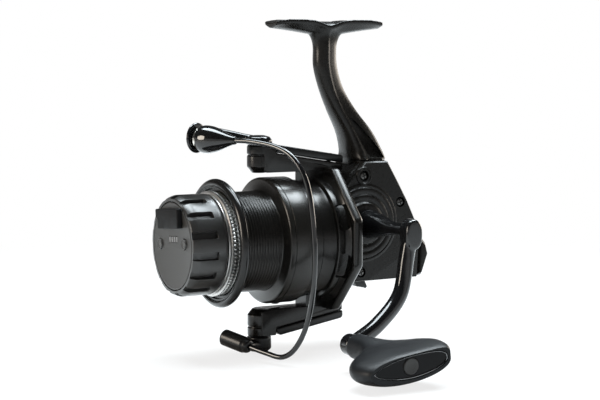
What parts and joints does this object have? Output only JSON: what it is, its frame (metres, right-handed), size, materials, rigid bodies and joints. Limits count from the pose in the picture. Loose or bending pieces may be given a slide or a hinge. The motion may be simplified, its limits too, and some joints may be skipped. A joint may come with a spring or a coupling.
{
  "type": "spinning fishing reel",
  "caption": "Front-drag spinning fishing reel with foot and stem, gear case, rotor with bail, flanged line spool, electronic drag knob and cranked handle with T-bar grip.",
  "frame": {"origin": "middle of the flat strip on top of the foot, where the rod's reel seat bears", "axes": "+Z towards the rod, -Y towards the front of the spool, +X towards the handle side"},
  "size_m": [0.1527, 0.1416, 0.1624],
  "materials": {
    "casting": "matte",
    "gloss": "gloss",
    "satin": "satin",
    "anodised": "satin",
    "grip": "soft touch",
    "panel": "matte",
    "steel": "bright",
    "bronze": "machined",
    "felt": "felt",
    "board": "laminate"
  },
  "bodies": {
    "frame": {"body_housing": "casting", "side_cover": "casting", "tail_cap": "casting", "cover_screw_upper": "steel", "cover_screw_lower": "steel", "cover_screw_rear": "steel", "handle_side_cap": "casting", "drive_bearing_left": "steel", "drive_bearing_right": "steel", "pinion_bearing": "steel", "one_way_clutch": "satin", "guide_rod": "steel"},
    "anti_reverse": {"anti_reverse_lever": "satin"},
    "crank": {"drive_gear": "bronze", "handle_shank": "gloss", "handle_arm": "gloss", "grip_axle": "steel"},
    "grip": {"handle_grip": "grip", "grip_inset": "gloss", "grip_disc": "panel"},
    "rotor": {"rotor": "anodised", "arm_cover_upper": "satin", "arm_cover_lower": "satin", "arm_screw_upper": "steel", "arm_screw_lower": "steel", "rotor_nut": "steel", "bail_spring": "steel", "pinion_gear": "bronze", "clutch_sleeve": "steel"},
    "bail": {"bail_arm": "gloss", "roller_screw": "steel", "roller_cone": "gloss", "bail_wire": "gloss", "bail_lever": "satin", "pivot_pin_upper": "steel", "pivot_pin_lower": "steel"},
    "roller": {"line_roller": "steel"},
    "worm": {"worm_shaft": "steel"},
    "shaft": {"main_shaft": "steel", "spool_seat": "satin", "oscillation_carriage": "satin", "drag_plate": "steel", "drag_spring": "steel"},
    "spool": {"spool_body": "anodised", "spool_lip": "anodised", "line_clip": "steel", "drag_felt": "felt", "drag_clip": "steel"},
    "knob": {"knob_shell": "satin", "knob_face": "panel", "level_lights": "panel", "circuit_board": "board", "coin_cell": "steel", "knob_nut": "bronze", "bright_ring": "steel", "knurled_ring": "steel"},
    "button_left": {"button_left": "panel"},
    "button_right": {"button_right": "panel"},
    "port": {"port_cover": "satin"}
  },
  "joints": [
    {"name": "crank_spin", "type": "hinge", "parent": "frame", "child": "crank", "pos_m": [0, 0.0134, -0.0995], "axis": [1, 0, 0], "continuous": true},
    {"name": "rotor_spin", "type": "hinge", "parent": "frame", "child": "rotor", "pos_m": [0, 0, -0.107], "axis": [0, 1, 0], "continuous": true},
    {"name": "worm_spin", "type": "hinge", "parent": "frame", "child": "worm", "pos_m": [-0.003, 0, -0.1162], "axis": [0, 1, 0], "continuous": true},
    {"name": "grip_spin", "type": "hinge", "parent": "crank", "child": "grip", "pos_m": [0.07, -0.0243, -0.1492], "axis": [1, 0, 0], "continuous": true},
    {"name": "bail_swing", "type": "hinge", "parent": "rotor", "child": "bail", "pos_m": [0, -0.037, -0.107], "axis": [0, 0, 1], "range_deg": [-125, 0]},
    {"name": "roller_spin", "type": "hinge", "parent": "bail", "child": "roller", "pos_m": [-0.009, -0.064, -0.057], "axis": [0.9164, 0.4002, 0], "continuous": true},
    {"name": "shaft_slide", "type": "slide", "parent": "frame", "child": "shaft", "axis": [0, 1, 0], "range_m": [0, 0.008]},
    {"name": "drag_slip", "type": "hinge", "parent": "shaft", "child": "spool", "pos_m": [0, -0.0465, -0.107], "axis": [0, 1, 0], "continuous": true},
    {"name": "drag_knob_turn", "type": "hinge", "parent": "shaft", "child": "knob", "pos_m": [0, -0.075, -0.107], "axis": [0, 1, 0], "range_deg": [-540, 540]},
    {"name": "anti_reverse_switch", "type": "hinge", "parent": "frame", "child": "anti_reverse", "pos_m": [0, 0.019, -0.129], "axis": [0, 0, 1], "range_deg": [0, 40]},
    {"name": "port_cover_lift", "type": "hinge", "parent": "knob", "child": "port", "pos_m": [-0.00156, -0.0839, -0.08912], "axis": [0.9962, 0, 0.0872], "range_deg": [-75, 0]},
    {"name": "button_left_press", "type": "slide", "parent": "knob", "child": "button_left", "axis": [0, 1, 0], "range_m": [0, 0.0006], "stiffness_N_per_m": 400, "springref_m": -0.0006},
    {"name": "button_right_press", "type": "slide", "parent": "knob", "child": "button_right", "axis": [0, 1, 0], "range_m": [0, 0.0006], "stiffness_N_per_m": 400, "springref_m": -0.0006}
  ],
  "couplings": [
    {"joint": "rotor_spin", "follows": "crank_spin", "ratio": 4.5},
    {"joint": "worm_spin", "follows": "crank_spin", "ratio": -3.6}
  ]
}
